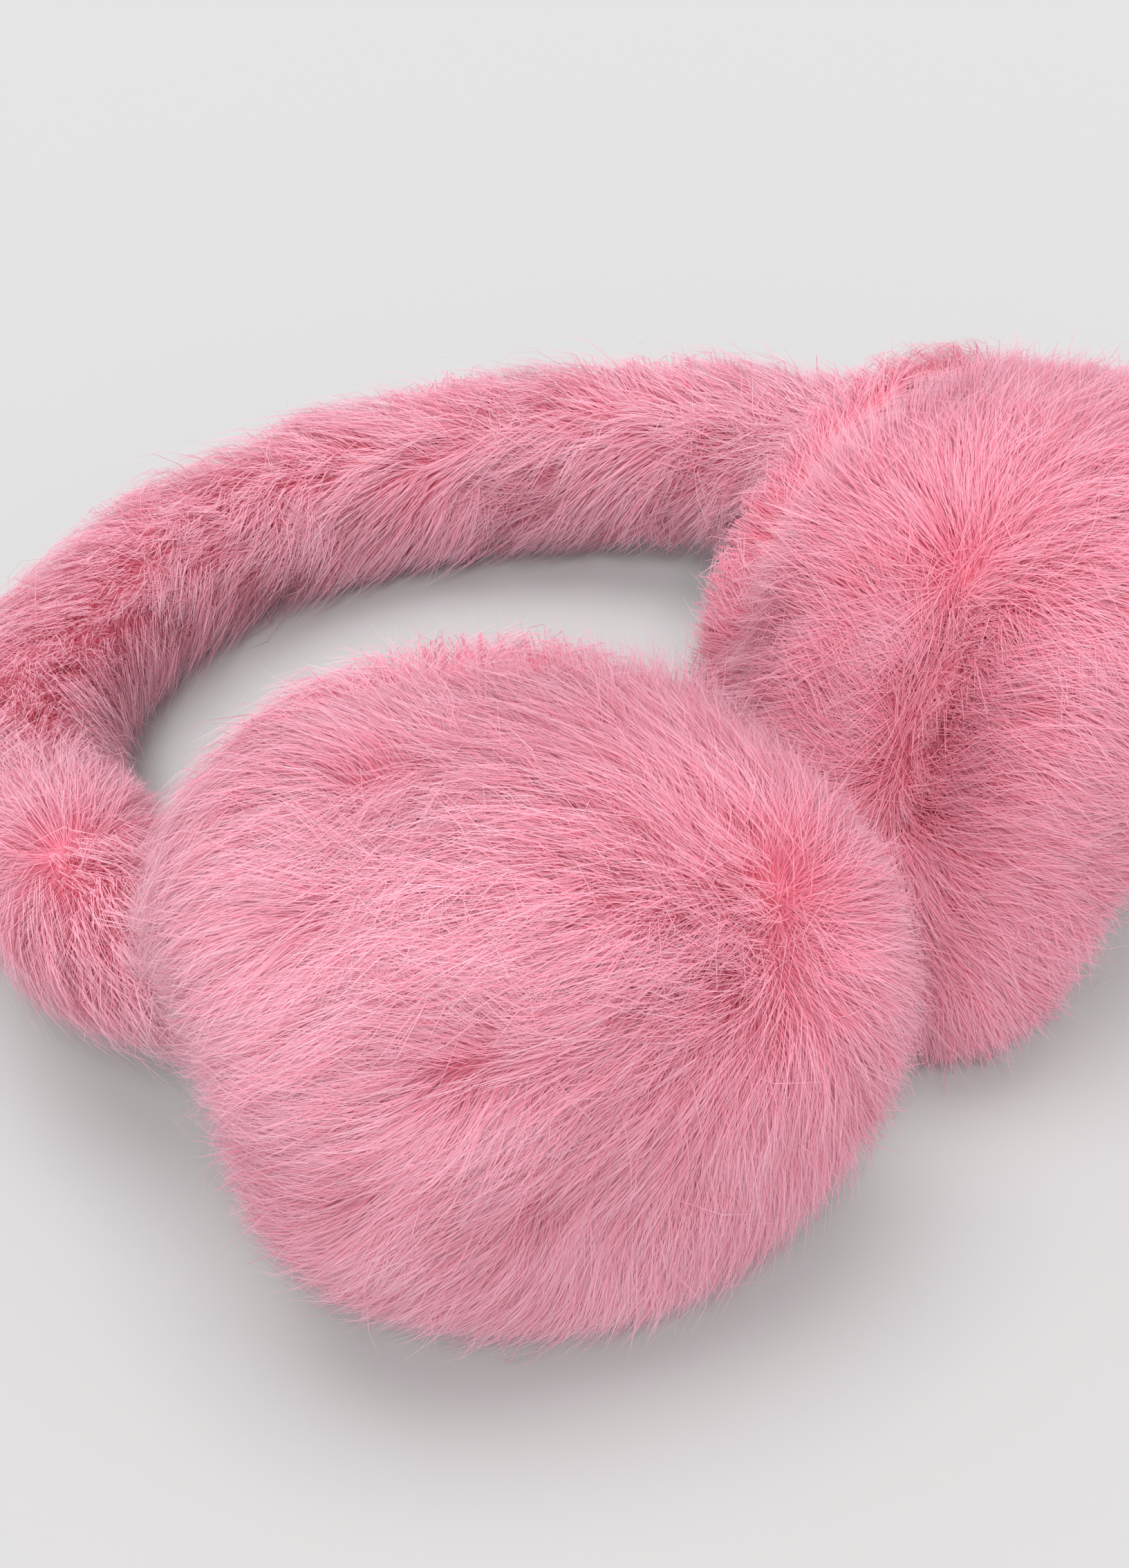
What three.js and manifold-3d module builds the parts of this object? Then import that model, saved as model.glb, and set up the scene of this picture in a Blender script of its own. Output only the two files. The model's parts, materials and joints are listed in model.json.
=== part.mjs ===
// Faux-fur earmuffs, lying as they come to rest when they are put down.
//
// Millimetres, +Z up, the surface they lie on is z = 0. The head band's closed
// end points along +Y, the two ear pads are at -Y, and the wearer's left pad
// is at -X. Each deep-fur piece is the solid of its outer form: the band is a
// fur sleeve over a spring core, and each pad is a fur dome with a shallow
// dish on its ear side, where a dark cloth lining is sewn in.
import * as THREE from 'three';
import { mergeVertices } from 'three/addons/utils/BufferGeometryUtils.js';
import Module from 'manifold-3d';

const wasm = await Module();
wasm.setup();

const gap = 0.3; // left between a pad and its lining
const sewnGap = 0.6; // left between a pad and the band's end
const sink = 2.0; // how far soft fur gives where it rests

// Ear pads.
const padHalfWide = 58; // level, across the pad
const padHalfHigh = 53.5;
const padDepth = 78; // ear side to the top of the dome
const fullestAt = 41; // depth at which the pad is widest
const rimRadius = 42; // crest of the fur round the lining
const coreDepth = 34; // middle of the pad, which its swells and partings are seen from
const domeRoundness = 0.86; // 1 would be an ellipse, less is boxier
const aroundSteps = 48;
const liningSteps = 64;
const rimSteps = 5;
const domeSteps = 10;

// Ear-side dish and lining.
const dishRadius = 36;
const dishDepth = 4.2;
const dishFlare = 2.5; // how much wider the dish is near its mouth
const dishMouth = 1.2; // depth at which it is
const liningRadius = 35.5;
const liningThickness = 2.4;

// Head band.
const bandHalfWidth = 90; // centre line, at its widest
const bandReach = 93; // centre line, from the widest place to the closed end
const bandHalfHigh = 18; // section, up and down
const bandHalfThick = 16.5; // section, across the band
const bandEndHeight = 50; // centre line, inside the pads' edges
const bandEndAngle = -19; // past the widest place, degrees
const bandFlare = 13; // how far the ends lean outwards
const bandNarrowing = 0.34; // how much thinner the ends are
const endsFrom = 0.7; // where both start, from the closed end (0) to the pads (1)
const bandSteps = 64;
const sectionSteps = 20;

const degrees = THREE.MathUtils.degToRad;

// Each pad: its ear-side centre on the floor plan, how far it is turned in
// from facing straight outwards, and how far its dome leans up.
const pads = {
  left: { side: -1, x: -52.3, y: -33.5, turnedIn: 73, leansUp: 0 },
  right: { side: 1, x: 49.3, y: -20, turnedIn: 81, leansUp: 0 },
};

// Swells and hollows of the fur, as seen from the pad's core. "around" runs
// from the band's side (0) over the top (90) to the other pad (180), and
// "lift" from the ear side (-90) over the edge (0) to the top of the dome (90).
const swells = {
  left: [
    { around: 40, lift: -20, spread: 30, height: 8 },
    { around: 170, lift: 10, spread: 30, height: 2 },
    { around: -35, lift: 0, spread: 30, height: -5.5 },
  ],
  right: [
    { around: 60, lift: 0, spread: 30, height: -2 },
    { around: -60, lift: 20, spread: 30, height: -6 },
    { around: -135, lift: 15, spread: 24, height: 7 },
  ],
};

// Partings where the fur turns away to both sides, and smaller dips, each
// along an arc between two such directions.
const partings = {
  left: [
    { fromAround: 112, fromLift: 26, toAround: 134, toLift: 40, spread: 8, depth: 4.5 },
    { fromAround: 60, fromLift: -8, toAround: 72, toLift: -6, spread: 8, depth: 3 },
    { fromAround: 42, fromLift: 6, toAround: 48, toLift: 10, spread: 7, depth: 2.5 },
    { fromAround: 34, fromLift: 42, toAround: 46, toLift: 48, spread: 7, depth: 3.5 },
    { fromAround: -6, fromLift: 36, toAround: 2, toLift: 40, spread: 7, depth: 2 },
    { fromAround: -80, fromLift: 70, toAround: -50, toLift: 78, spread: 10, depth: 2.5 },
  ],
  right: [
    { fromAround: 120, fromLift: 6, toAround: 166, toLift: 10, spread: 8, depth: 6 },
  ],
};

function direction(around, lift) {
  const a = degrees(around);
  const b = degrees(lift);
  return new THREE.Vector3(
    Math.cos(a) * Math.cos(b), Math.sin(a) * Math.cos(b), Math.sin(b));
}

// Angle in degrees from a direction to the nearest place on an arc.
function angleToArc(from, start, end) {
  const whole = start.angleTo(end);
  const across = new THREE.Vector3().crossVectors(start, end).normalize();
  const flat = from.clone().addScaledVector(across, -from.dot(across)).normalize();
  const along = Math.atan2(new THREE.Vector3().crossVectors(start, flat).dot(across), start.dot(flat));
  if (along < 0 || along > whole) {
    return THREE.MathUtils.radToDeg(Math.min(from.angleTo(start), from.angleTo(end)));
  }
  return THREE.MathUtils.radToDeg(from.angleTo(flat));
}

function bell(angle, spread) {
  return Math.exp(-0.5 * (angle / spread) ** 2);
}

function furHeight(name, unit) {
  let height = 0;
  for (const swell of swells[name]) {
    const angle = THREE.MathUtils.radToDeg(unit.angleTo(direction(swell.around, swell.lift)));
    height += swell.height * bell(angle, swell.spread);
  }
  for (const parting of partings[name]) {
    const start = direction(parting.fromAround, parting.fromLift);
    const end = direction(parting.toAround, parting.toLift);
    height -= parting.depth * bell(angleToArc(unit, start, end), parting.spread);
  }
  return height;
}

// Half outline of a pad, from the middle of the dish over the rim and the
// fullest place to the top of the dome: x is the radius, y the depth. The
// dish is round and smooth, the rest is squat and has the fur's swells.
function padOutline() {
  const outline = [
    new THREE.Vector2(0, dishDepth),
    new THREE.Vector2(dishRadius / 2, dishDepth),
    new THREE.Vector2(dishRadius, dishDepth),
    new THREE.Vector2(dishRadius + dishFlare, dishMouth),
  ];
  for (let i = 0; i <= rimSteps; i++) {
    const t = (i / rimSteps) * Math.PI / 2;
    outline.push(new THREE.Vector2(
      rimRadius + (padHalfWide - rimRadius) * Math.sin(t),
      fullestAt * (1 - Math.cos(t))));
  }
  for (let i = 1; i <= domeSteps; i++) {
    const t = (i / domeSteps) * Math.PI / 2;
    outline.push(new THREE.Vector2(
      padHalfWide * Math.cos(t) ** domeRoundness,
      fullestAt + (padDepth - fullestAt) * Math.sin(t) ** domeRoundness));
  }
  outline[outline.length - 1].x = 0;
  return outline;
}

// Closes rings of points, and a point at each end, into a solid's surface.
function closedSurface(rings, first, last) {
  const points = [first, ...rings.flat(), last];
  const steps = rings[0].length;
  const index = [];
  for (let j = 0; j < steps; j++) {
    const k = (j + 1) % steps;
    index.push(0, 1 + k, 1 + j);
    for (let i = 0; i + 1 < rings.length; i++) {
      const a = 1 + i * steps;
      const b = a + steps;
      index.push(a + j, a + k, b + k, a + j, b + k, b + j);
    }
    const a = 1 + (rings.length - 1) * steps;
    index.push(a + j, a + k, points.length - 1);
  }
  const geometry = new THREE.BufferGeometry();
  geometry.setAttribute('position', new THREE.Float32BufferAttribute(
    points.flatMap((point) => point.toArray()), 3));
  geometry.setIndex(index);
  return geometry;
}

// Pad frame: its +Z is the dome's outward direction, +Y is up and +X runs
// level, towards the band on the right pad and away from it on the left.
function padPose({ side, x, y, turnedIn, leansUp }) {
  const a = degrees(turnedIn);
  const t = degrees(leansUp);
  const level = new THREE.Vector3(Math.sin(a), side * Math.cos(a), 0);
  const outward = new THREE.Vector3(
    side * Math.cos(a) * Math.cos(t), -Math.sin(a) * Math.cos(t), Math.sin(t));
  const up = new THREE.Vector3().crossVectors(outward, level);
  return new THREE.Matrix4().makeBasis(level, up, outward).setPosition(x, y, 0);
}

function padGeometry(name, side) {
  const core = new THREE.Vector3(0, 0, coreDepth);
  const outline = padOutline();
  const ring = ({ x: radius, y: depth }) => {
    const inFur = radius >= rimRadius || depth > dishDepth;
    const squat = inFur ? padHalfHigh / padHalfWide : 1;
    const points = [];
    for (let j = 0; j < aroundSteps; j++) {
      const a = (j / aroundSteps) * 2 * Math.PI;
      const point = new THREE.Vector3(radius * Math.cos(a), squat * radius * Math.sin(a), depth);
      if (inFur) {
        const unit = point.clone().sub(core).normalize();
        const seen = unit.clone();
        seen.x *= side;
        point.addScaledVector(unit, furHeight(name, seen));
      }
      points.push(point);
    }
    return points;
  };
  const rings = outline.slice(1, -1).map(ring);
  const top = new THREE.Vector3(0, 0, padDepth + furHeight(name, new THREE.Vector3(0, 0, 1)));
  return closedSurface(rings, new THREE.Vector3(0, 0, dishDepth), top);
}

// Lowers a soft piece onto the floor and flattens what would go through it.
// Returns how far it was moved.
function settle(geometry) {
  geometry.computeBoundingBox();
  const drop = -geometry.boundingBox.min.z - sink;
  geometry.translate(0, 0, drop);
  const position = geometry.getAttribute('position');
  for (let i = 0; i < position.count; i++) {
    position.setZ(i, Math.max(0, position.getZ(i)));
  }
  return drop;
}

// Band centre line: an oval open at -Y, whose ends lean outwards and rise
// from the floor to the pads.
class BandLine extends THREE.Curve {
  getPoint(t) {
    const s = 2 * t - 1;
    const angle = degrees(90 - s * (90 - bandEndAngle));
    const end = THREE.MathUtils.smoothstep(Math.abs(s), endsFrom, 1);
    const low = bandHalfHigh - sink;
    return new THREE.Vector3(
      bandHalfWidth * Math.cos(angle) + Math.sign(s) * bandFlare * end,
      bandReach * Math.sin(angle),
      low + (bandEndHeight - low) * s ** 2);
  }
}

function bandGeometry() {
  const line = new BandLine();
  const up = new THREE.Vector3(0, 0, 1);
  const rings = [];
  for (let i = 0; i <= bandSteps; i++) {
    const t = i / bandSteps;
    const centre = line.getPoint(t);
    const along = line.getTangent(t);
    const across = new THREE.Vector3().crossVectors(up, along).normalize();
    const high = new THREE.Vector3().crossVectors(along, across);
    const end = THREE.MathUtils.smoothstep(Math.abs(2 * t - 1), endsFrom, 1);
    const ring = [];
    for (let j = 0; j < sectionSteps; j++) {
      const a = (j / sectionSteps) * 2 * Math.PI;
      ring.push(centre.clone()
        .addScaledVector(across, (1 - bandNarrowing * end) * bandHalfThick * Math.cos(a))
        .addScaledVector(high, bandHalfHigh * Math.sin(a)));
    }
    rings.push(ring);
  }
  const geometry = closedSurface(rings, line.getPoint(0), line.getPoint(1));
  const position = geometry.getAttribute('position');
  for (let i = 0; i < position.count; i++) {
    position.setZ(i, Math.max(0, position.getZ(i)));
  }
  return geometry;
}

function toSolid(geometry) {
  const bare = geometry.clone();
  bare.deleteAttribute('normal');
  bare.deleteAttribute('uv');
  const merged = mergeVertices(bare, 1e-5);
  return new wasm.Manifold(new wasm.Mesh({
    numProp: 3,
    vertProperties: Float32Array.from(merged.getAttribute('position').array),
    triVerts: Uint32Array.from(merged.index.array),
  }));
}

function toGeometry(solid) {
  const mesh = solid.getMesh();
  const geometry = new THREE.BufferGeometry();
  geometry.setAttribute('position', new THREE.Float32BufferAttribute(mesh.vertProperties, 3));
  geometry.setIndex(Array.from(mesh.triVerts));
  return geometry;
}

// A surface grown by the same amount all over.
function swollen(geometry, amount) {
  const grown = geometry.clone();
  grown.computeVertexNormals();
  const position = grown.getAttribute('position');
  const normal = grown.getAttribute('normal');
  for (let i = 0; i < position.count; i++) {
    position.setXYZ(i,
      position.getX(i) + amount * normal.getX(i),
      position.getY(i) + amount * normal.getY(i),
      position.getZ(i) + amount * normal.getZ(i));
  }
  return grown;
}

function material(color, roughness) {
  return new THREE.MeshStandardMaterial({ color, roughness, metalness: 0 });
}

const earmuffs = new THREE.Group();

function add(name, geometry, finish) {
  const mesh = new THREE.Mesh(geometry, finish);
  mesh.name = name;
  earmuffs.add(mesh);
}

// The sleeve's ends are shaped to the pads that they are sewn to.
let band = toSolid(bandGeometry());
for (const [name, pad] of Object.entries(pads)) {
  const pose = padPose(pad);
  const dome = padGeometry(name, pad.side).applyMatrix4(pose);
  const drop = settle(dome);
  add(`ear_pad_${name}`, dome, material(0xe79ab2, 0.95));

  const lining = new THREE.CylinderGeometry(liningRadius, liningRadius, liningThickness, liningSteps);
  lining.rotateX(Math.PI / 2);
  lining.translate(0, 0, dishDepth - gap - liningThickness / 2);
  lining.applyMatrix4(pose).translate(0, 0, drop);
  add(`ear_lining_${name}`, lining, material(0x4a3f4d, 0.9));

  band = band.subtract(toSolid(swollen(dome, sewnGap)));
}
add('headband', toGeometry(band), material(0xe3899f, 0.95));

// The origin is on the floor, under the middle of the whole object.
const middle = new THREE.Box3().setFromObject(earmuffs).getCenter(new THREE.Vector3());
earmuffs.position.set(-middle.x, -middle.y, 0);

export default earmuffs;
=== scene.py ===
# Looks of the faux-fur earmuffs. Metres, in the CAD's own frame: the surface
# they lie on is z = 0, the band's closed end is at +Y, the wearer's left pad at -X.
import json
import math

import bpy
import numpy as np
from mathutils import Matrix, Vector
from mathutils.kdtree import KDTree


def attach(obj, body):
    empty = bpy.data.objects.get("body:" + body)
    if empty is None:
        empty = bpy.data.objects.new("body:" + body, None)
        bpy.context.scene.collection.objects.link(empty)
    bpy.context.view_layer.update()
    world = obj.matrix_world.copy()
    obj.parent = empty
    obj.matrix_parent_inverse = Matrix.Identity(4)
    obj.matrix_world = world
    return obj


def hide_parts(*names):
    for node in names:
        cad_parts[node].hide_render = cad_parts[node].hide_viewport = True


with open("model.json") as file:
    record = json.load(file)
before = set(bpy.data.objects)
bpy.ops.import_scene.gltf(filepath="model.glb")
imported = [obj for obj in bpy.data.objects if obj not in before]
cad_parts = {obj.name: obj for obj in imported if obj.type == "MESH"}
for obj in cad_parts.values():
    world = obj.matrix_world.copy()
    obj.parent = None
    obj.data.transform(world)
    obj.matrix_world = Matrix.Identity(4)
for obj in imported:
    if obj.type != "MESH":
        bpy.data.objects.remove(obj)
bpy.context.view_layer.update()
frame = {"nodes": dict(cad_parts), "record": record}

scene = bpy.context.scene
mounts = {mount["name"]: mount for mount in frame["record"]["mounts"]}

MM = 0.001
UP = np.array([0.0, 0.0, 1.0])


# ---------------------------------------------------------------- small maths

def unit(vectors):
    length = np.linalg.norm(vectors, axis=-1, keepdims=True)
    return vectors / np.maximum(length, 1e-9)


def dot(a, b):
    return np.sum(a * b, axis=-1, keepdims=True)


def across(vectors, normals):
    """The part of each vector that lies in the surface."""
    return vectors - dot(vectors, normals) * normals


def step(low, high, x):
    t = np.clip((x - low) / (high - low), 0, 1)
    return t * t * (3 - 2 * t)


def ripple(points, size, seed, octaves=5):
    """Smooth, wandering vectors of about unit length, for points in metres."""
    rng = np.random.default_rng(seed)
    out = np.zeros_like(points)
    for _ in range(octaves):
        wave = unit(rng.normal(size=3)) * 2 * math.pi / (size * rng.uniform(0.6, 1.6))
        out += np.sin(points @ wave + rng.uniform(0, 6.28))[:, None] * unit(rng.normal(size=3))
    return out * math.sqrt(2 / octaves)


# ------------------------------------------------------------------ materials

def node(tree, kind, **inputs):
    made = tree.nodes.new(kind)
    for name, value in inputs.items():
        made.inputs[name.replace("_", " ")].default_value = value
    return made


def new_material(name):
    material = bpy.data.materials.new(name)
    material.use_nodes = True
    tree = material.node_tree
    return material, tree, tree.nodes["Principled BSDF"]


def ramp(tree, factor, stops):
    made = tree.nodes.new("ShaderNodeValToRGB")
    made.color_ramp.interpolation = "EASE"
    elements = made.color_ramp.elements
    while len(elements) < len(stops):
        elements.new(0.5)
    for element, (place, colour) in zip(elements, stops):
        element.position = place
        element.color = (*colour, 1)
    tree.links.new(factor, made.inputs["Fac"])
    return made.outputs["Color"]


def reckon(tree, operation, *values):
    """A Math node; values are sockets or numbers."""
    made = tree.nodes.new("ShaderNodeMath")
    made.operation = operation
    for socket, value in zip(made.inputs, values):
        if isinstance(value, bpy.types.NodeSocket):
            tree.links.new(value, socket)
        else:
            socket.default_value = value
    return made.outputs[0]


FIBRE_SCALE = (85.0, 1.6)  # fine pattern over the strand's map: across, along
TONE_SHARE, LENGTH_SHARE, FIBRE_SHARE, TONE_SHIFT = 0.26, 0.56, 0.65, 0.22
GLOW = 0.45  # share of a strand's shading that lets light through


def strand_material(name, stops):
    """Colour from the strand's own map: v runs from root to tip, and u across
    the strand, a little way, from a start that is the strand's tone."""
    material, tree, shader = new_material(name)
    uv = tree.nodes.new("ShaderNodeUVMap")
    uv.uv_map = "OFBake"
    parts = tree.nodes.new("ShaderNodeSeparateXYZ")
    tree.links.new(uv.outputs["UV"], parts.inputs[0])
    u, v = parts.outputs["X"], parts.outputs["Y"]
    place = tree.nodes.new("ShaderNodeCombineXYZ")
    tree.links.new(reckon(tree, "MULTIPLY", u, FIBRE_SCALE[0]), place.inputs["X"])
    tree.links.new(reckon(tree, "MULTIPLY", v, FIBRE_SCALE[1]), place.inputs["Y"])
    fibres = node(tree, "ShaderNodeTexNoise", Scale=1.0, Detail=1.0, Roughness=0.6)
    fibres.noise_dimensions = "2D"
    tree.links.new(place.outputs[0], fibres.inputs["Vector"])
    tone = reckon(tree, "MULTIPLY_ADD", u, TONE_SHARE, reckon(tree, "MULTIPLY", v, LENGTH_SHARE))
    tone = reckon(tree, "MULTIPLY_ADD", fibres.outputs["Fac"], FIBRE_SHARE, tone)
    colour = ramp(tree, reckon(tree, "SUBTRACT", tone, TONE_SHIFT), stops)
    tree.links.new(colour, shader.inputs["Base Color"])
    shader.inputs["Roughness"].default_value = 0.62
    shader.inputs["Specular IOR Level"].default_value = 0.08
    # Thin fibres also glow with the light that falls on their far side.
    glow = tree.nodes.new("ShaderNodeBsdfTranslucent")
    tree.links.new(colour, glow.inputs["Color"])
    mixed = tree.nodes.new("ShaderNodeMixShader")
    mixed.inputs["Fac"].default_value = GLOW
    tree.links.new(shader.outputs[0], mixed.inputs[1])
    tree.links.new(glow.outputs[0], mixed.inputs[2])
    tree.links.new(mixed.outputs[0], tree.nodes["Material Output"].inputs["Surface"])
    return material


FUR_STOPS = [
    (0.00, (0.73, 0.145, 0.225)),
    (0.28, (0.82, 0.255, 0.355)),
    (0.58, (0.85, 0.460, 0.565)),
    (1.00, (0.89, 0.775, 0.830)),
]


BACKING_GRAIN = 900  # grains in a metre


def skin_material(name, colours):
    """Backing under the strands: short matted fur, as bump and mottled colour."""
    material, tree, shader = new_material(name)
    place = tree.nodes.new("ShaderNodeTexCoord")
    noise = node(tree, "ShaderNodeTexNoise", Scale=BACKING_GRAIN, Detail=5.0, Roughness=0.7)
    tree.links.new(place.outputs["Object"], noise.inputs["Vector"])
    tree.links.new(
        ramp(tree, noise.outputs["Fac"], [(0.3, colours[0]), (0.7, colours[1])]),
        shader.inputs["Base Color"])
    bump = node(tree, "ShaderNodeBump", Strength=0.8, Distance=0.0008)
    tree.links.new(noise.outputs["Fac"], bump.inputs["Height"])
    tree.links.new(bump.outputs["Normal"], shader.inputs["Normal"])
    shader.inputs["Roughness"].default_value = 0.9
    shader.inputs["Specular IOR Level"].default_value = 0.1
    return material


# ---------------------------------------------------------------------- skins

def arrays(mesh):
    points = np.empty(len(mesh.vertices) * 3)
    mesh.vertices.foreach_get("co", points)
    normals = np.empty(len(mesh.vertices) * 3)
    mesh.vertices.foreach_get("normal", normals)
    return points.reshape(-1, 3), normals.reshape(-1, 3)


def remeshed(name, voxel, smoothing):
    """A fine, even, rounded copy of a CAD node's surface, as a new object."""
    made = bpy.data.objects.new(name, frame["nodes"][name.removesuffix("_skin")].data.copy())
    scene.collection.objects.link(made)
    made.data.materials.clear()
    remesh = made.modifiers.new("remesh", "REMESH")
    remesh.mode = "VOXEL"
    remesh.voxel_size = voxel
    smooth = made.modifiers.new("smooth", "SMOOTH")
    smooth.factor = 0.5
    smooth.iterations = smoothing
    graph = bpy.context.evaluated_depsgraph_get()
    mesh = bpy.data.meshes.new_from_object(made.evaluated_get(graph), depsgraph=graph)
    made.modifiers.clear()
    made.data = mesh
    mesh.shade_smooth()
    return made


def move(mesh, points):
    mesh.vertices.foreach_set("co", points.ravel())
    mesh.update()


class Surface:
    """A skin's points, normals and faces, for planting strands and following it."""

    def __init__(self, mesh):
        self.points, self.normals = arrays(mesh)
        mesh.calc_loop_triangles()
        corners = np.empty(len(mesh.loop_triangles) * 3, int)
        mesh.loop_triangles.foreach_get("vertices", corners)
        self.corners = corners.reshape(-1, 3)
        self.tree = KDTree(len(self.points))
        for index, point in enumerate(self.points):
            self.tree.insert(point, index)
        self.tree.balance()

    def plant(self, count, weight, rng):
        """Roots spread over the faces, as many to an area as weight says there."""
        a, b, c = (self.points[self.corners[:, i]] for i in range(3))
        area = np.linalg.norm(np.cross(b - a, c - a), axis=1) / 2
        share = area * weight(self.points)[self.corners].mean(1)
        total = np.cumsum(share)
        # Evenly stepped draws leave no bald or crowded patches.
        draws = (np.arange(count) + rng.random(count)) * total[-1] / count
        face = np.minimum(np.searchsorted(total, draws), len(total) - 1)
        s, t = rng.random((2, count, 1))
        s, t = np.where(s + t > 1, 1 - s, s), np.where(s + t > 1, 1 - t, t)
        normal = [self.normals[self.corners[face, i]] for i in range(3)]
        return (
            a[face] + s * (b[face] - a[face]) + t * (c[face] - a[face]),
            unit(normal[0] * (1 - s - t) + normal[1] * s + normal[2] * t))

    def normals_near(self, points):
        find = self.tree.find
        return self.normals[[find(point)[1] for point in points]]


# -------------------------------------------------------------------- strands

END_LIFT = math.radians(6)  # how far off the surface a strand's tip points
UPRIGHT = math.radians(84)
WIDE, SMALL = 30 * MM, 9 * MM  # sizes of the two waves in the pile's direction


def grow(surface, roots, normals, flow, lift, length, knots):
    """Centre lines that leave the skin at the angle lift and bend over along the flow."""
    ahead = surface.normals_near(roots + flow * length * 0.6)
    line = [roots]
    for k in range(knots):
        t = (k + 0.5) / knots
        n = unit(normals + (ahead - normals) * min(1.0, t / 0.75))
        f = unit(across(flow, n))
        angle = lift * (1 - t) ** 1.2 + END_LIFT
        line.append(line[-1] + length / knots * (np.cos(angle) * f + np.sin(angle) * n))
    return np.stack(line, axis=1)


def strands(surface, coat, seed, field, weight):
    """Centre lines and tones of one coat of strands, gathered into locks.

    field gives, at points of the skin, the pile's direction, how far it stands up,
    its relative length and how much painted shade darkens its colour at partings, creases and whorls."""
    rng = np.random.default_rng(seed)
    knots = coat["knots"]
    count, locks = coat["count"], coat["locks"]
    lock_root, lock_normal = surface.plant(locks, weight, rng)
    roots, normals = surface.plant(count, weight, rng)
    tree = KDTree(locks)
    for index, point in enumerate(lock_root):
        tree.insert(point, index)
    tree.balance()
    owner = np.array([tree.find(point)[1] for point in roots])

    def directions(points, at_normals, mess):
        flow, stand, size, painted_shade = field(points, at_normals)
        wander = ripple(points, WIDE, 11) * coat["wander"] + ripple(points, SMALL, 12) * coat["local"]
        flow = flow + wander + rng.normal(size=points.shape) * mess
        flow = unit(across(flow, at_normals))
        return flow, stand, size, painted_shade

    lock_flow, lock_stand, lock_size, _ = directions(lock_root, lock_normal, coat["lock_mess"])
    lock_lift = np.radians(coat["lift"]) * (1 + rng.normal(size=(locks, 1)) * 0.18)
    lock_lift = lock_lift + (UPRIGHT - lock_lift) * lock_stand
    lock_length = coat["length"] * lock_size * (1 + rng.normal(size=(locks, 1)) * 0.08)
    lock_line = grow(surface, lock_root, lock_normal, lock_flow, lock_lift, lock_length, knots)

    flow, stand, size, painted_shade = directions(roots, normals, coat["mess"])
    flow = unit(across(flow + 0.8 * lock_flow[owner], normals))
    lift = np.radians(coat["lift"]) * (1 + rng.normal(size=(count, 1)) * 0.22)
    lift = np.clip(lift + (UPRIGHT - lift) * stand, 0.15, 1.5)
    length = coat["length"] * size * np.clip(1 + rng.normal(size=(count, 1)) * coat["uneven"], 0.5, 1.45)
    line = grow(surface, roots, normals, flow, lift, length, knots)

    t = np.linspace(0, 1, knots + 1)[None, :, None]
    pull = coat["gather"] * rng.uniform(0.35, 1.0, (count, 1, 1)) * t ** 1.3
    stray = rng.random((count, 1, 1)) < coat["strays"]
    pull = np.where(stray, 0.0, pull)
    # A strand is pulled towards its lock's line, but never far past the lock's width.
    limit = 1.6 * np.linalg.norm(roots - lock_root[owner], axis=1)[:, None, None] + 2 * MM
    line = line + pull * np.clip(lock_line[owner] - line, -limit, limit)
    line = line - coat["sag"] * length[:, None] * t ** 2 * UP
    wobble = rng.normal(size=(count, 1, 3)) * coat["wobble"] * t * (1 - 0.35 * t)
    line = line + wobble
    line[..., 2] = np.maximum(line[..., 2], 0.3 * MM)  # lies on the floor, not in it
    tone = 0.5 + 0.18 * rng.normal(size=locks)[owner] + 0.24 * rng.normal(size=count)
    # Painted shade at partings, creases and whorls darkens a strand's whole colour; strays are a little
    # paler.
    tone = tone + np.where(stray[:, 0, 0], 0.15, 0.0) - painted_shade
    return line, normals, np.clip(tone, 0.04, 0.96)


SOFTNESS = 0.72  # how much a strand is shaded as the surface it lies on


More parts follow.
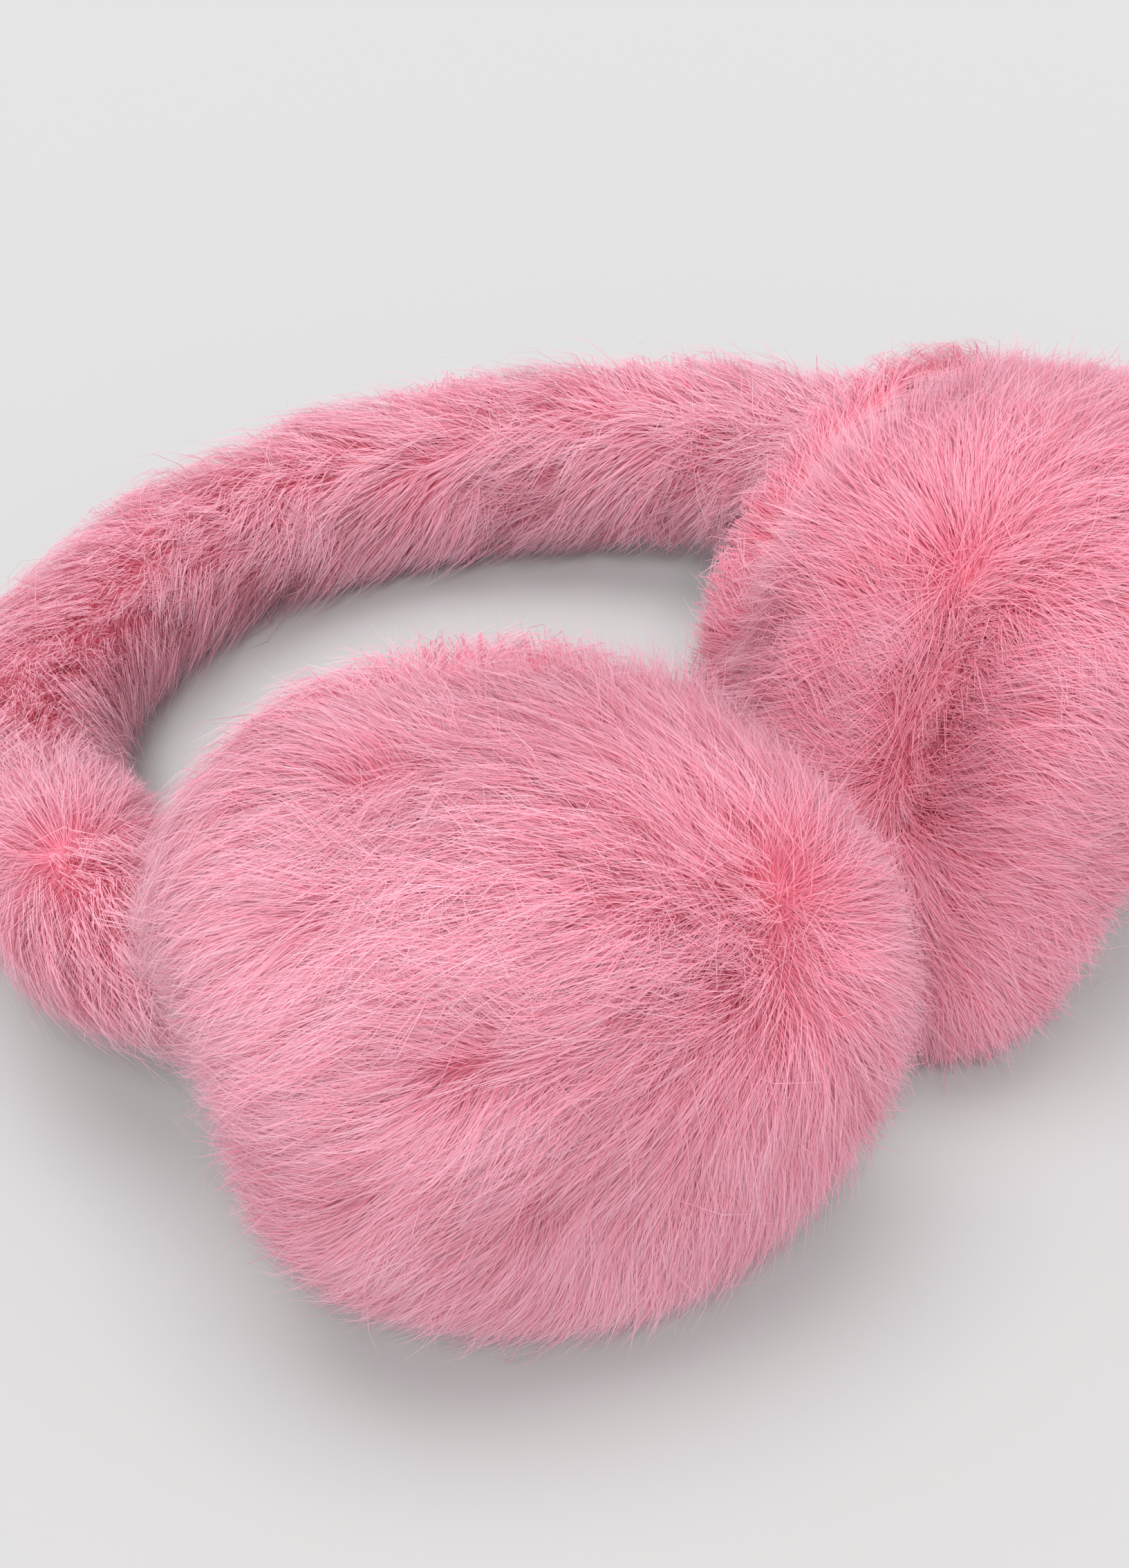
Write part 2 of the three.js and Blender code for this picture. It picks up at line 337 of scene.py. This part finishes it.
def ribbons(name, line, normals, tone, width, tilt, material, seed):
    """One mesh of flat, tapering strands; each ends in a point."""
    rng = np.random.default_rng(seed)
    count, places = line.shape[:2]
    along = unit(np.gradient(line, axis=1))
    face = unit(across(np.repeat(normals[:, None], places, 1), along))
    side = np.cross(along, face)
    roll = rng.uniform(-tilt, tilt, (count, 1, 1))
    side = np.cos(roll) * side + np.sin(roll) * face
    taper = np.interp(np.arange(places - 1) / (places - 1), [0, 0.35, 1], [0.8, 1.0, 0.35])
    half = width * rng.uniform(0.75, 1.25, (count, 1, 1)) * taper[None, :, None] / 2
    left = line[:, :-1] - side[:, :-1] * half
    right = line[:, :-1] + side[:, :-1] * half
    points = np.concatenate([np.stack([left, right], 2).reshape(count, -1, 3), line[:, -1:]], 1)
    each = points.shape[1]

    quads = [[2 * k, 2 * k + 1, 2 * k + 3, 2 * k + 2] for k in range(places - 2)]
    tip = [2 * (places - 2), 2 * (places - 2) + 1, each - 1]
    corners = np.array(sum(quads, []) + tip)
    counts = np.array([4] * len(quads) + [3])
    loops = (np.arange(count)[:, None] * each + corners).ravel()
    totals = np.tile(counts, count)
    starts = np.concatenate([[0], np.cumsum(totals)[:-1]])

    mesh = bpy.data.meshes.new(name)
    mesh.vertices.add(count * each)
    mesh.vertices.foreach_set("co", points.ravel())
    mesh.loops.add(len(loops))
    mesh.loops.foreach_set("vertex_index", loops.astype(np.int32))
    mesh.polygons.add(len(totals))
    mesh.polygons.foreach_set("loop_start", starts.astype(np.int32))
    mesh.update(calc_edges=True)
    mesh.shade_smooth()

    row = np.repeat(np.arange(places - 1), 2) / (places - 1)
    v = np.append(row, 1.0)
    u = np.append(np.tile([-0.03, 0.03], places - 1), 0.0)
    uv = np.stack([
        np.clip(tone[:, None] + u[None], 0, 1),
        np.repeat(v[None], count, 0)], -1).reshape(-1, 2)
    layer = mesh.uv_layers.new(name="OFBake")
    layer.data.foreach_set("uv", uv[loops].ravel())

    facing = np.cross(side, along)
    facing = facing * np.sign(dot(facing, face))
    shade = unit(SOFTNESS * normals[:, None] + (1 - SOFTNESS) * facing)
    shade = np.concatenate([np.repeat(shade[:, :-1], 2, 1), shade[:, -1:]], 1)
    mesh.normals_split_custom_set_from_vertices(shade.reshape(-1, 3))

    made = bpy.data.objects.new(name, mesh)
    scene.collection.objects.link(made)
    made.data.materials.append(material)
    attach(made, "root")
    return made


# ----------------------------------------------------------------------- pads

PAD_PILE = 8.5 * MM
PAD_CORE_DEPTH = 32.5 * MM  # from the ear side to the middle that directions start from


class Pad:
    """A pad's own frame, in degrees: around 0 is the band's side, 90 the top and 180
    the other pad; lift -90 is the ear side and 90 the top of the dome.

    arcs: start and end (around, lift) that the pile spreads from, and share
    dips: start and end (around, lift) of small partings, spread and share
    swells: around, lift, spread and rise in mm of the fur's outer form
    parting_shade: how much shade is painted near the arcs, as a darker, deeper colour"""

    def __init__(self, name, side, arcs, dips, swells, parting_shade):
        ear = mounts[f"{name}_ear"]
        self.name, self.side = name, side
        self.ear = np.array(ear["pos_m"])
        self.out = -unit(np.array(ear["axis"], float))
        self.level = np.cross(UP, self.out)
        self.core = self.ear + self.out * PAD_CORE_DEPTH
        self.arcs, self.dips = arcs, dips
        self.swells, self.parting_shade = swells, parting_shade

    def direction(self, around, lift):
        a, b = math.radians(around), math.radians(lift)
        return (self.side * self.level * math.cos(a) * math.cos(b)
                + UP * math.sin(a) * math.cos(b) + self.out * math.sin(b))

    def seen(self, points):
        return unit(points - self.core)

    def radius(self, points):
        """Distance from the pad's axis, and depth from the ear side."""
        offset = points - self.ear
        depth = offset @ self.out
        return np.linalg.norm(offset - depth[:, None] * self.out, axis=1), depth

    def from_arc(self, seen, start, end):
        """Vector from the nearest place on an arc, and the angle to it."""
        a, b = self.direction(*start), self.direction(*end)
        whole = math.acos(float(np.clip(a @ b, -1, 1)))
        pole = unit(np.cross(a, b))
        flat = unit(seen - (seen @ pole)[:, None] * pole)
        place = np.arctan2(np.cross(a, flat) @ pole, flat @ a)
        place = np.where(place > whole / 2 + math.pi, place - 2 * math.pi, place)
        place = np.clip(place, 0, whole)[:, None]
        nearest = a * np.cos(place) + np.cross(pole, a) * np.sin(place)
        away = seen - nearest
        return away, 2 * np.arcsin(np.clip(np.linalg.norm(away, axis=1), 0, 2) / 2)

    def field(self, points, normals):
        seen = self.seen(points)
        flow = np.zeros_like(points)
        stand = np.zeros(len(points))
        painted_shade = np.zeros(len(points))
        for start, end, share in self.arcs:
            away, angle = self.from_arc(seen, start, end)
            firm = (angle / (angle + 0.05))[:, None]
            flow += share * firm * unit(across(away, normals))
            stand = np.maximum(stand, 0.6 * np.exp(-0.5 * (angle / 0.13) ** 2))
            # Painted shade: the colour is darkened along each arc, where the pile parts in a crease, strongly
            # close by and weakly over a wide area round it.
            painted_shade += self.parting_shade * (0.24 * np.exp(-0.5 * (angle / 0.75) ** 2)
                                     + 0.26 * np.exp(-0.5 * (angle / 0.14) ** 2))
        for start, end, spread, share in self.dips:
            away, angle = self.from_arc(seen, start, end)
            near = np.exp(-0.5 * (angle / math.radians(spread)) ** 2)[:, None]
            flow += share * near * unit(across(away, normals))
            stand = np.maximum(stand, 0.45 * near[:, 0] ** 2)
            # Painted shade darkens the colour in the small partings too.
            painted_shade += 0.24 * near[:, 0] ** 3
        # Round the lining the fur stands out over its edge.
        radius, depth = self.radius(points)
        rim = (1 - step(6 * MM, 22 * MM, depth))[:, None]
        outwards = unit(across(points - self.ear, normals))
        edge = (rim[:, 0] * (1 - step(38 * MM, 46 * MM, radius)))[:, None]
        flow = flow + rim * (1.3 * outwards - 0.5 * self.out)
        flow = (1 - edge) * flow - edge * 1.6 * outwards
        stand = np.maximum(stand, 0.30 * rim[:, 0])
        size = 1 - 0.35 * (1 - step(37 * MM, 50 * MM, radius)) * (depth < 15 * MM)
        return across(flow, normals), stand[:, None], size[:, None], painted_shade

    def pile(self, points):
        """How far under the outer form the skin lies: nothing under the lining."""
        radius, depth = self.radius(points)
        ear_side = 1 - step(10 * MM, 24 * MM, depth)
        open_part = step(37 * MM, 50 * MM, radius)
        height = np.zeros(len(points))
        seen = self.seen(points)
        for around, lift, spread, rise in self.swells:
            angle = np.arccos(np.clip(seen @ self.direction(around, lift), -1, 1))
            height += rise * MM * np.exp(-0.5 * (angle / math.radians(spread)) ** 2)
        return (PAD_PILE - height) * (1 - ear_side * (1 - open_part)) + 0.3 * MM

    def weight(self, points):
        radius, depth = self.radius(points)
        under_lining = (radius < 36.5 * MM) & (depth < 12 * MM)
        floor = 0.35 + 0.65 * step(9 * MM, 22 * MM, points[:, 2])
        return np.where(under_lining, 0.0, floor)


PADS = [
    Pad("left", -1, [((136, 27), (144, 38), 1.0)], [
        ((64, -8), (74, -7), 8, 1.1),
        ((46, 10), (50, 12), 6, 0.9),
        ((44, 44), (56, 48), 6, 1.2),
        ((0, 38), (6, 40), 6, 0.9),
        ((-4, 70), (14, 74), 6, 1.1)], [
        (110, -34, 26, -3.5), (74, -29, 16, -1.5), (40, -36, 12, 1.5), (0, -2, 14, -5.5),
        (-28, 18, 14, 2.5), (-50, 36, 20, 0.8), (-105, 34, 18, 2), (-159, 26, 18, 1)], 1.25),
    Pad("right", 1, [((128, 7), (176, 11), 1.0)], [], [
        (80, -38, 18, -9), (159, -34, 16, -7), (-136, 20, 16, 10), (-100, 39, 17, -9),
        (138, 8, 6, -4), (150, 9, 6, -4), (162, 10, 6, -4), (174, 11, 6, -4)], 2.2),
]

pad_skin = skin_material("pad_backing", [(0.76, 0.19, 0.27), (0.84, 0.33, 0.42)])
pad_fur = strand_material("pad_strands", FUR_STOPS)

PAD_COATS = {
    "under": dict(count=116000, locks=15000, knots=1, length=11.0 * MM, lift=60, wander=0.20, local=0.26,
                  lock_mess=0.26, mess=0.36, gather=0.25, strays=0.08, uneven=0.22, sag=0.03,
                  wobble=0.5 * MM, width=0.28 * MM, tilt=0.6),
    "outer": dict(count=65000, locks=9000, knots=2, length=15.5 * MM, lift=56, wander=0.20, local=0.28,
                  lock_mess=0.24, mess=0.34, gather=0.46, strays=0.08, uneven=0.20, sag=0.04,
                  wobble=0.9 * MM, width=0.17 * MM, tilt=0.6),
    "wisp": dict(count=8000, locks=4000, knots=3, length=18.0 * MM, lift=62, wander=0.20, local=0.28,
                 lock_mess=0.25, mess=0.50, gather=0.10, strays=0.50, uneven=0.18, sag=0.05,
                 wobble=1.6 * MM, width=0.11 * MM, tilt=0.8),
}

for number, pad in enumerate(PADS):
    node_name = f"ear_pad_{pad.name}"
    skin = remeshed(f"{node_name}_skin", 3.0 * MM, 6)
    points, normals = arrays(skin.data)
    move(skin.data, points - normals * pad.pile(points)[:, None])
    skin.data.materials.append(pad_skin)
    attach(skin, "root")
    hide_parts(node_name)
    surface = Surface(skin.data)
    for coat_name, coat in PAD_COATS.items():
        line, root_normals, tone = strands(
            surface, coat, 100 * number + len(coat_name) + coat["knots"], pad.field, pad.weight)
        ribbons(f"{node_name}_{coat_name}_fur", line, root_normals, tone, coat["width"],
                coat["tilt"], pad_fur, 7 + number)


# ----------------------------------------------------------------------- band

band_top = np.array(mounts["rest_band"]["pos_m"])
BAND_REACH = 93 * MM
band_middle = band_top - np.array([0, BAND_REACH, 0])
BAND_PILE = 7.0 * MM
BAND_SECTION = 17.0 * MM  # half the sleeve's thickness
BAND_SWELLS = [(30, 8, 1.0), (60, 14, 0.8), (172, 8, 2.5), (194, 6, -4)]  # bearing, spread, mm


class Band:
    """The band's own frame: bearing is the angle round the oval seen from above,
    90 at the closed end, and around is the angle round the sleeve's section,
    0 outwards, 90 up and 180 inwards."""

    def __init__(self, points):
        offset = points - band_middle
        bearing = np.degrees(np.arctan2(offset[:, 1], offset[:, 0]))
        bearing = np.where(bearing < -90, bearing + 360, bearing)
        radius = np.hypot(offset[:, 0], offset[:, 1])
        low, high = bearing.min(), bearing.max()
        self.places = np.linspace(low + 4, high - 4, 60)
        rows = []
        for place in self.places:
            near = np.abs(bearing - place) < 4
            rows.append([(radius[near].min() + radius[near].max()) / 2,
                         (points[near, 2].min() + points[near, 2].max()) / 2])
        rows = np.array(rows)
        for _ in range(3):
            rows[1:-1] = (rows[:-2] + 2 * rows[1:-1] + rows[2:]) / 4
        self.rows = rows

    def bearing(self, points):
        offset = points - band_middle
        bearing = np.degrees(np.arctan2(offset[:, 1], offset[:, 0]))
        return np.where(bearing < -90, bearing + 360, bearing)

    def centre(self, bearing):
        radius = np.interp(bearing, self.places, self.rows[:, 0])
        height = np.interp(bearing, self.places, self.rows[:, 1])
        a = np.radians(bearing)
        return band_middle * [1, 1, 0] + np.stack(
            [radius * np.cos(a), radius * np.sin(a), height], -1)

    def axes(self, points):
        """Centre, direction along (towards greater bearing), outwards and up."""
        bearing = self.bearing(points)
        centre = self.centre(bearing)
        along = unit(self.centre(bearing + 1.5) - self.centre(bearing - 1.5))
        out = unit(np.cross(along, UP))
        return bearing, centre, along, out, np.cross(out, along)

    def around(self, points):
        bearing, centre, along, out, high = self.axes(points)
        offset = points - centre
        around = np.degrees(np.arctan2(dot(offset, high), dot(offset, out)))[:, 0]
        return bearing, along, out, high, around

    def field(self, points, normals):
        bearing, along, out, high, around = self.around(points)
        a = np.radians(around)[:, None]
        turning = -np.sin(a) * out + np.cos(a) * high  # from outwards over the top to inwards
        # From the right pad the fur lies along the band towards its closed end
        # and parts along the top of its inner side.
        flow = along + 0.75 * np.sin(a - np.radians(BAND_PARTING)) * turning
        # By the left pad it spreads from a whorl on the outer, upper side.
        lengthwise = (bearing - WHORL_BEARING) * MM_A_DEGREE_ALONG
        crosswise = (around - WHORL_AROUND) * MM_A_DEGREE_AROUND
        distance = np.hypot(lengthwise, crosswise)
        away = lengthwise[:, None] * along + crosswise[:, None] * turning
        near = step(WHORL_BEARING - 26, WHORL_BEARING - 12, bearing)[:, None]
        flow = unit(flow) * (1 - near) + near * unit(away)
        stand = 0.4 * np.exp(-0.5 * (distance / 5.0) ** 2)
        # Painted shade: the colour is a little darker in the whorl.
        painted_shade = 0.06 * np.exp(-0.5 * (distance / 9.0) ** 2)
        return unit(across(flow, normals)), stand[:, None], np.ones((len(points), 1)), painted_shade

    def weight(self, points):
        bearing = self.bearing(points)
        beyond = np.maximum(self.places[0] - bearing, bearing - self.places[-1])
        return (0.35 + 0.65 * step(8 * MM, 16 * MM, points[:, 2])) * (1 - step(3, 5, beyond))


WHORL_BEARING, WHORL_AROUND = 174, 66
BAND_PARTING = 118  # around the section, where the fur parts on top
MM_A_DEGREE_ALONG, MM_A_DEGREE_AROUND = 1.6, 0.28

band_skin = skin_material("band_backing", [(0.75, 0.18, 0.26), (0.83, 0.32, 0.41)])
band_fur = strand_material("band_strands", FUR_STOPS)

skin = remeshed("headband_skin", 2.6 * MM, 6)
points = arrays(skin.data)[0]
band = Band(points)
bearing, centre, along = band.axes(points)[:3]
ends = [band.places[0], band.places[-1]]
# The sleeve thins by the pile's height, and its ends run on into the pads' fur.
rise = sum(height * MM * np.exp(-0.5 * ((bearing - place) / spread) ** 2)
           for place, spread, height in BAND_SWELLS)
middle = centre - along * dot(centre - points, along)
points = middle + (points - middle) * (1 - (BAND_PILE - rise[:, None]) / BAND_SECTION)
for end, way in zip(ends, (-1, 1)):
    points = points + way * along * step(0, 6, way * (bearing - end))[:, None] * 5 * MM
move(skin.data, points)
skin.data.materials.append(band_skin)
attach(skin, "root")
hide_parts("headband")
surface = Surface(skin.data)
BAND_COATS = {
    "under": dict(count=60000, locks=8000, knots=1, length=9.0 * MM, lift=62, wander=0.30, local=0.34,
                  lock_mess=0.30, mess=0.36, gather=0.30, strays=0.08, uneven=0.22, sag=0.03,
                  wobble=0.35 * MM, width=0.34 * MM, tilt=0.6),
    "outer": dict(count=46000, locks=3400, knots=2, length=14.0 * MM, lift=60, wander=0.38, local=0.50,
                  lock_mess=0.36, mess=0.28, gather=0.62, strays=0.08, uneven=0.20, sag=0.04,
                  wobble=0.9 * MM, width=0.19 * MM, tilt=0.6),
    "wisp": dict(count=5500, locks=2600, knots=3, length=15.5 * MM, lift=64, wander=0.34, local=0.44,
                 lock_mess=0.30, mess=0.55, gather=0.15, strays=0.40, uneven=0.18, sag=0.05,
                 wobble=1.2 * MM, width=0.12 * MM, tilt=0.8),
}
for coat_name, coat in BAND_COATS.items():
    line, root_normals, tone = strands(surface, coat, 300 + coat["knots"], band.field, band.weight)
    ribbons(f"headband_{coat_name}_fur", line, root_normals, tone, coat["width"],
            coat["tilt"], band_fur, 21)


# -------------------------------------------------------------------- linings

def lining_material():
    material, tree, shader = new_material("lining_cloth")
    place = tree.nodes.new("ShaderNodeTexCoord")
    fuzz = node(tree, "ShaderNodeTexNoise", Scale=1400.0, Detail=4.0, Roughness=0.6)
    knit = node(tree, "ShaderNodeTexWave", Scale=420.0, Distortion=1.2, Detail=1.0)
    for texture in (fuzz, knit):
        tree.links.new(place.outputs["Object"], texture.inputs["Vector"])
    tree.links.new(
        ramp(tree, fuzz.outputs["Fac"], [(0.3, (0.035, 0.026, 0.042)), (0.7, (0.105, 0.080, 0.115))]),
        shader.inputs["Base Color"])
    mixed = node(tree, "ShaderNodeMath")
    mixed.operation = "ADD"
    tree.links.new(fuzz.outputs["Fac"], mixed.inputs[0])
    tree.links.new(knit.outputs["Fac"], mixed.inputs[1])
    bump = node(tree, "ShaderNodeBump", Strength=0.5, Distance=0.0003)
    tree.links.new(mixed.outputs[0], bump.inputs["Height"])
    tree.links.new(bump.outputs["Normal"], shader.inputs["Normal"])
    shader.inputs["Roughness"].default_value = 0.95
    shader.inputs["Sheen Weight"].default_value = 0.4
    shader.inputs["Sheen Roughness"].default_value = 0.5
    return material


# Radius and height, mm, from the crown of the ear side round the seam to the back.
LINING_PROFILE = [
    (0.0, 0.9), (8, 0.86), (16, 0.72), (24, 0.42), (29, 0.08), (32, -0.35),
    (34, -0.95), (35.2, -1.55), (35.2, -2.2), (30, -2.3), (15, -2.3), (0.0, -2.3)]
LINING_STEPS = 72
PUCKERS, PUCKER_HEIGHT = 18, 0.12
lining_cloth = lining_material()
for pad in PADS:
    # A cloth disc crowned by the filling behind it and pulled in at its seam.
    steps = LINING_STEPS
    verts, faces = [], []
    for radius, height in LINING_PROFILE:
        if radius == 0:
            verts.append(pad.ear - pad.out * height * MM)
            continue
        for j in range(steps):
            a = 2 * math.pi * j / steps
            pucker = PUCKER_HEIGHT * math.cos(PUCKERS * a) * step(24, 33, radius) if height > -2 else 0
            verts.append(pad.ear - pad.out * (height + pucker) * MM
                         + (pad.level * math.cos(a) + UP * math.sin(a)) * radius * MM)
    ring_count = len(LINING_PROFILE) - 2
    last = len(verts) - 1
    for j in range(steps):
        k = (j + 1) % steps
        faces.append((0, 1 + j, 1 + k))
        for i in range(ring_count - 1):
            a, b = 1 + i * steps, 1 + (i + 1) * steps
            faces.append((a + j, b + j, b + k, a + k))
        a = 1 + (ring_count - 1) * steps
        faces.append((a + j, last, a + k))
    mesh = bpy.data.meshes.new(f"ear_lining_{pad.name}_cloth")
    mesh.from_pydata([tuple(v) for v in verts], [], faces)
    mesh.update()
    mesh.shade_smooth()
    lining = bpy.data.objects.new(mesh.name, mesh)
    scene.collection.objects.link(lining)
    mesh.materials.append(lining_cloth)
    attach(lining, "root")
    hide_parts(f"ear_lining_{pad.name}")


# --------------------------------------------------------------- scene and camera

FLOOR_HALF = 6.0
floor_mesh = bpy.data.meshes.new("floor")
floor_mesh.from_pydata([(x * FLOOR_HALF, y * FLOOR_HALF, 0) for x, y in ((-1, -1), (1, -1), (1, 1), (-1, 1))],
                       [], [(0, 1, 2, 3)])
floor = bpy.data.objects.new("floor", floor_mesh)
scene.collection.objects.link(floor)
floor_material, _, floor_shader = new_material("floor_paper")
floor_shader.inputs["Base Color"].default_value = (0.42, 0.42, 0.42, 1)
floor_shader.inputs["Roughness"].default_value = 0.9
floor_shader.inputs["Specular IOR Level"].default_value = 0.0
floor_mesh.materials.append(floor_material)

# Pale walls all round near the floor's level, and a dimmer ceiling.
world = bpy.data.worlds.new("studio")
scene.world = world
world.use_nodes = True
studio = world.node_tree
heading = studio.nodes.new("ShaderNodeTexCoord")
parts = studio.nodes.new("ShaderNodeSeparateXYZ")
studio.links.new(heading.outputs["Generated"], parts.inputs[0])
WALL, CEILING = 2.0, 0.50
shade = ramp(studio, parts.outputs["Z"], [(0.22, (WALL,) * 3), (0.45, (CEILING,) * 3)])
studio.links.new(shade, studio.nodes["Background"].inputs["Color"])
studio.nodes["Background"].inputs["Strength"].default_value = 1.0


def lamp(name, towards, energy, spread):
    """A far, wide light that comes from a direction."""
    data = bpy.data.lights.new(name, "SUN")
    data.energy = energy
    data.angle = math.radians(spread)
    made = bpy.data.objects.new(name, data)
    scene.collection.objects.link(made)
    made.rotation_euler = Vector(towards).to_track_quat("Z", "Y").to_euler()


lamp("overhead", (-0.12, 0.04, 1.0), 2.1, 42)
lamp("front", (-0.41, -0.46, 0.66), 2.35, 14)

CAMERA_BEARING, CAMERA_RISE, CAMERA_ROLL = (math.radians(x) for x in (-41.7, 40.3, 1.33))
CAMERA_DISTANCE, CAMERA_LENS = 0.691, 131.3
CAMERA_TARGET = Vector((-0.0085, -0.0152, 0.035))
back = Vector((math.sin(CAMERA_BEARING) * math.cos(CAMERA_RISE),
               -math.cos(CAMERA_BEARING) * math.cos(CAMERA_RISE), math.sin(CAMERA_RISE)))
right = Vector((math.cos(CAMERA_BEARING), math.sin(CAMERA_BEARING), 0))
top = back.cross(right)
rolled_right = math.cos(CAMERA_ROLL) * right + math.sin(CAMERA_ROLL) * top
rolled_top = -math.sin(CAMERA_ROLL) * right + math.cos(CAMERA_ROLL) * top
camera_data = bpy.data.cameras.new("camera")
camera_data.sensor_fit = "HORIZONTAL"
camera_data.sensor_width = 36
camera_data.lens = CAMERA_LENS
camera_data.clip_end = 30
camera = bpy.data.objects.new("camera", camera_data)
scene.collection.objects.link(camera)
camera.matrix_world = Matrix.Translation(CAMERA_TARGET + back * CAMERA_DISTANCE) @ Matrix(
    (rolled_right, rolled_top, back)).transposed().to_4x4()
scene.camera = camera
scene.view_settings.view_transform = "Standard"
